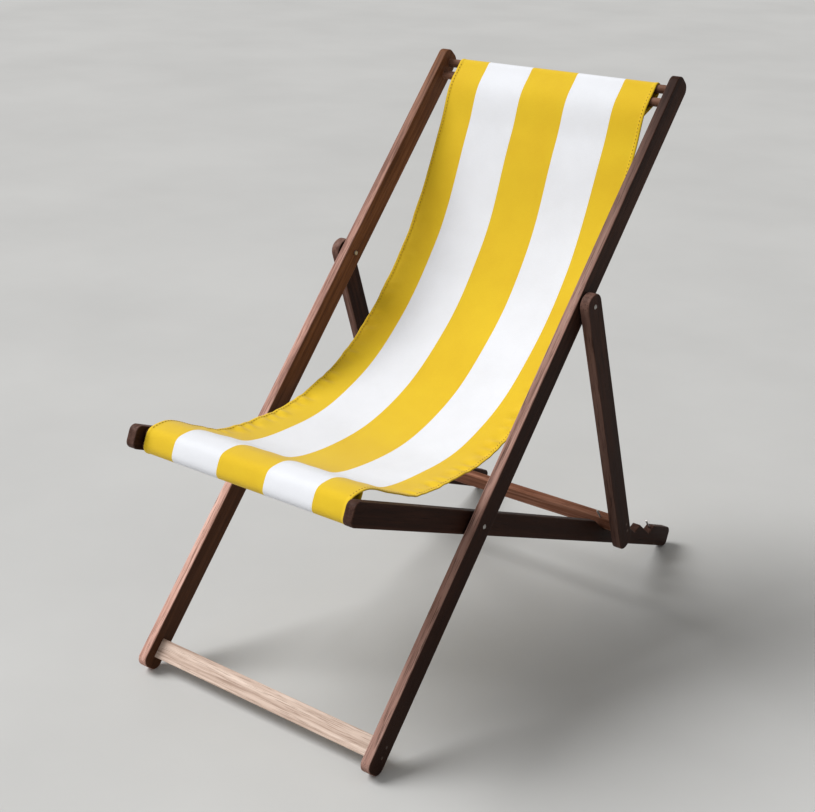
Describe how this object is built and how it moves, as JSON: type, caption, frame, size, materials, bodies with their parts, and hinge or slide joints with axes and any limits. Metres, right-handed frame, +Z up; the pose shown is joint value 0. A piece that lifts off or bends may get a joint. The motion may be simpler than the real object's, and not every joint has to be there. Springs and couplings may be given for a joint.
{
  "type": "folding beach chair",
  "caption": "Folding wooden beach deckchair: striped canvas sling hung between a back frame and a seat frame, propped by a crossbar in sawtooth notches.",
  "frame": {"origin": "on the floor, on the centre line, under the middle of the standing chair's footprint", "axes": "+Z up, the sitter faces -Y, +X towards the sitter's left"},
  "size_m": [0.5744, 1.0554, 0.9962],
  "materials": {
    "dark_wood": "dark brown stained hardwood, satin, worn paler along the edges",
    "pale_wood": "lighter pinkish brown hardwood with fine grain",
    "dowel_wood": "turned brown hardwood, satin",
    "canvas": "plain-weave cotton canvas in wide lengthwise yellow and white stripes, matt",
    "plated_steel": "zinc plated steel, satin",
    "steel_fixings": "plain steel pins, screws and pegs"
  },
  "bodies": {
    "back_frame": {"back_rail_left": "dark_wood", "back_rail_right": "dark_wood", "foot_board": "pale_wood", "board_screws": "steel_fixings", "top_dowel_upper": "dowel_wood", "top_dowel_lower": "dowel_wood", "top_dowel_pins": "steel_fixings", "crossing_bolts": "plated_steel", "crossing_spacers": "plated_steel", "crossing_nuts": "plated_steel", "prop_bolts": "plated_steel", "prop_spacers": "plated_steel", "prop_nuts": "plated_steel", "sling": "canvas"},
    "seat_frame": {"seat_rail_left": "dark_wood", "seat_rail_right": "dark_wood", "front_dowel_upper": "dowel_wood", "front_dowel_lower": "dowel_wood", "front_dowel_pins": "steel_fixings", "stop_pegs": "steel_fixings"},
    "prop_frame": {"prop_leg_left": "dark_wood", "prop_leg_right": "dark_wood", "prop_crossbar": "pale_wood", "crossbar_screws": "steel_fixings", "crossbar_pegs": "steel_fixings"}
  },
  "joints": [
    {"name": "seat_hinge", "type": "hinge", "parent": "back_frame", "child": "seat_frame", "pos_m": [0, -0.2097, 0.3335], "axis": [1, 0, 0], "range_deg": [0, 70.5], "deforming": ["sling"]},
    {"name": "prop_hinge", "type": "hinge", "parent": "back_frame", "child": "prop_frame", "pos_m": [0, 0.07572, 0.64718], "axis": [1, 0, 0], "range_deg": [0, 121.5]}
  ],
  "couplings": [
    {"joint": "prop_hinge", "follows": "seat_hinge", "ratio": 1.72}
  ]
}
